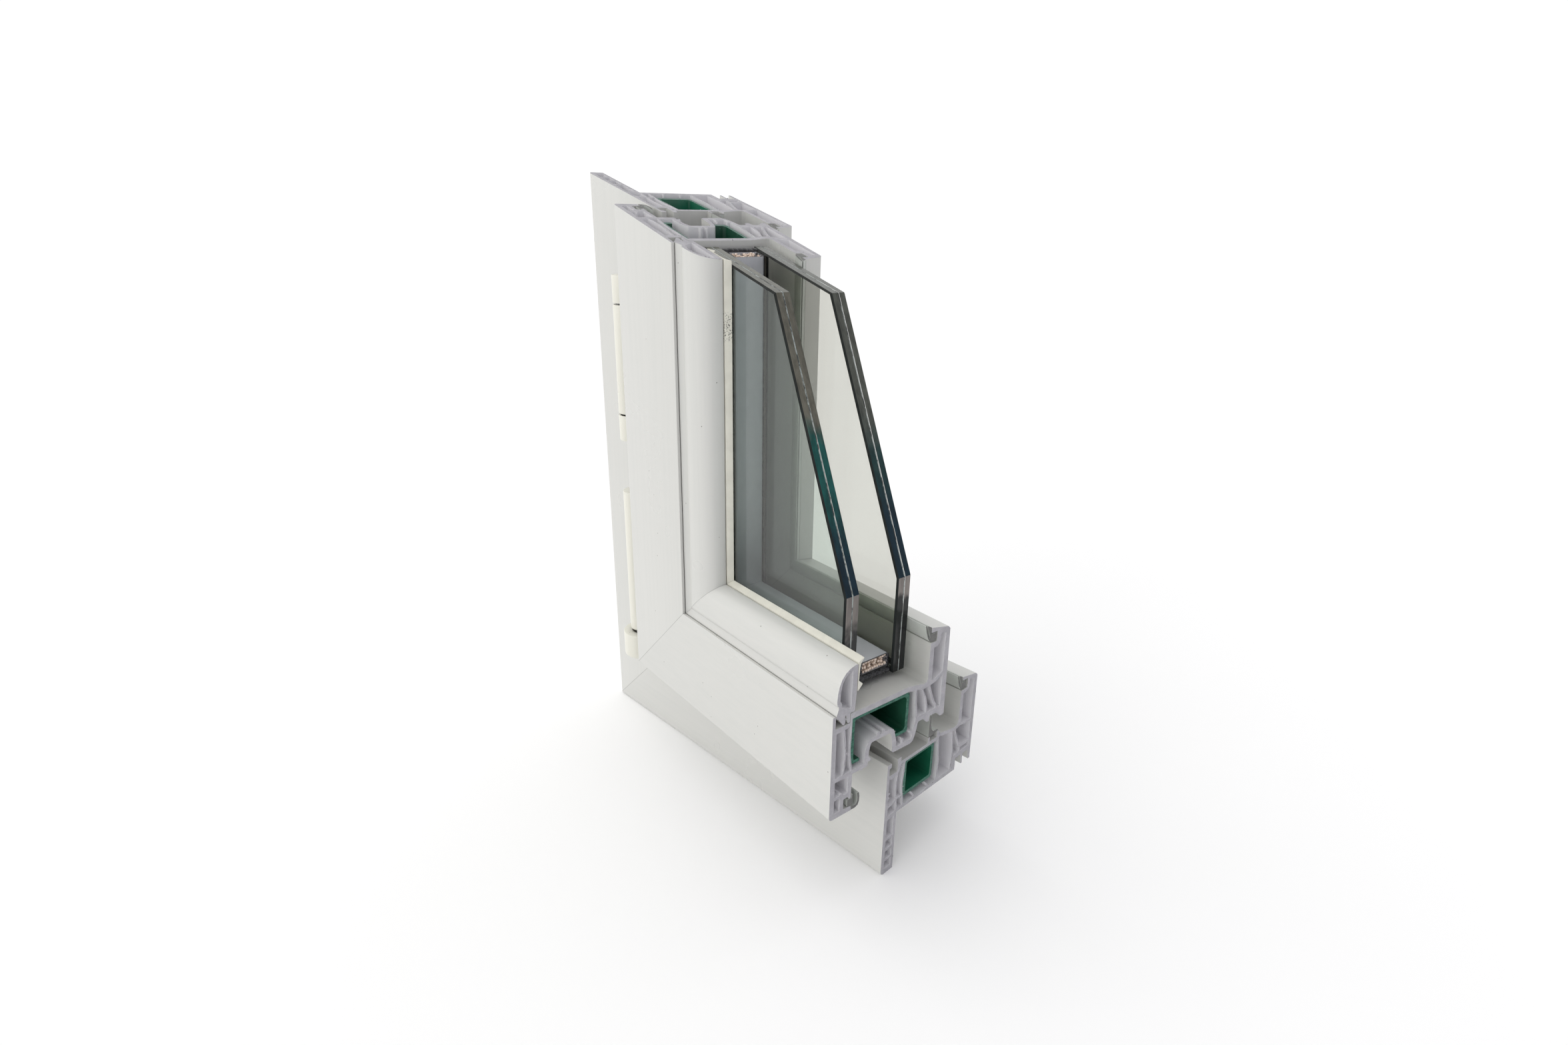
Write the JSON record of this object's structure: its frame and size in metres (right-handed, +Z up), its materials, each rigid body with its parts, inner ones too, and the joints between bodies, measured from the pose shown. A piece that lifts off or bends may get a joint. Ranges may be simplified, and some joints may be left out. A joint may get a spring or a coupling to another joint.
{
  "type": "casement window corner section",
  "caption": "Cut-away corner of an inward-opening plastic casement window, with steel-reinforced frame, hinged sash, seals, glazing bead and laminated double glazing.",
  "frame": {"origin": "a point on the frame's sill face, where the rail sits on the sill", "axes": "+X along the bottom rail from the hinge side to the sawn end, +Y from the room side to the outdoor side, +Z up along the hinge jamb"},
  "size_m": [0.2343, 0.109, 0.3268],
  "materials": {
    "upvc": "smooth extruded white with matt sawn ends",
    "gasket": "matt grey",
    "bead_seal": "matt cream",
    "reinforcement": "dark green primer on steel",
    "glass": "clear with polished dark edges",
    "interlayer": "clear film, milky at the cut edge",
    "spacer": "matt mill finish",
    "desiccant": "small matt beige beads",
    "sealant": "matt black",
    "packer": "matt blue",
    "hinge_metal": "bright zinc",
    "hinge_cover": "satin ivory"
  },
  "bodies": {
    "frame": {"frame_rail_profile": "upvc", "frame_rail_steel": "reinforcement", "frame_rail_centre_seal": "gasket", "frame_rail_outdoor_seal": "gasket", "frame_jamb_profile": "upvc", "frame_jamb_steel": "reinforcement", "frame_jamb_centre_seal": "gasket", "frame_jamb_outdoor_seal": "gasket", "upper_hinge_top_knuckle": "hinge_metal", "upper_hinge_bottom_knuckle": "hinge_metal", "upper_hinge_pin": "hinge_metal", "upper_hinge_top_cover": "hinge_cover", "upper_hinge_bottom_cover": "hinge_cover", "lower_hinge_cup": "hinge_cover", "lower_hinge_socket": "hinge_metal"},
    "sash": {"sash_rail_profile": "upvc", "sash_rail_steel": "reinforcement", "sash_rail_overlap_seal": "gasket", "sash_rail_glass_seal": "gasket", "bead_rail": "upvc", "bead_rail_seal": "bead_seal", "spacer_bar_rail": "spacer", "desiccant_rail": "desiccant", "edge_sealant_rail": "sealant", "butyl_room_rail": "sealant", "butyl_outdoor_rail": "sealant", "glazing_packer_rail": "packer", "sash_jamb_profile": "upvc", "sash_jamb_steel": "reinforcement", "sash_jamb_overlap_seal": "gasket", "sash_jamb_glass_seal": "gasket", "bead_jamb": "upvc", "bead_jamb_seal": "bead_seal", "spacer_bar_jamb": "spacer", "desiccant_jamb": "desiccant", "edge_sealant_jamb": "sealant", "butyl_room_jamb": "sealant", "butyl_outdoor_jamb": "sealant", "glazing_packer_jamb": "packer", "inner_pane_room_sheet": "glass", "inner_pane_interlayer": "interlayer", "inner_pane_outdoor_sheet": "glass", "outer_pane_room_sheet": "glass", "outer_pane_interlayer": "interlayer", "outer_pane_outdoor_sheet": "glass", "upper_hinge_middle_knuckle": "hinge_metal", "upper_hinge_middle_cover": "hinge_cover", "lower_hinge_arm": "hinge_metal", "lower_hinge_pin": "hinge_metal", "lower_hinge_arm_cover": "hinge_cover"}
  },
  "joints": [
    {"name": "sash_turn", "type": "hinge", "parent": "frame", "child": "sash", "pos_m": [-0.0729, -0.0412, 0.1276], "axis": [0, 0, -1], "range_deg": [-5.94, 90], "deforming": ["frame_rail_centre_seal", "frame_jamb_centre_seal", "frame_rail_outdoor_seal", "frame_jamb_outdoor_seal"]}
  ]
}
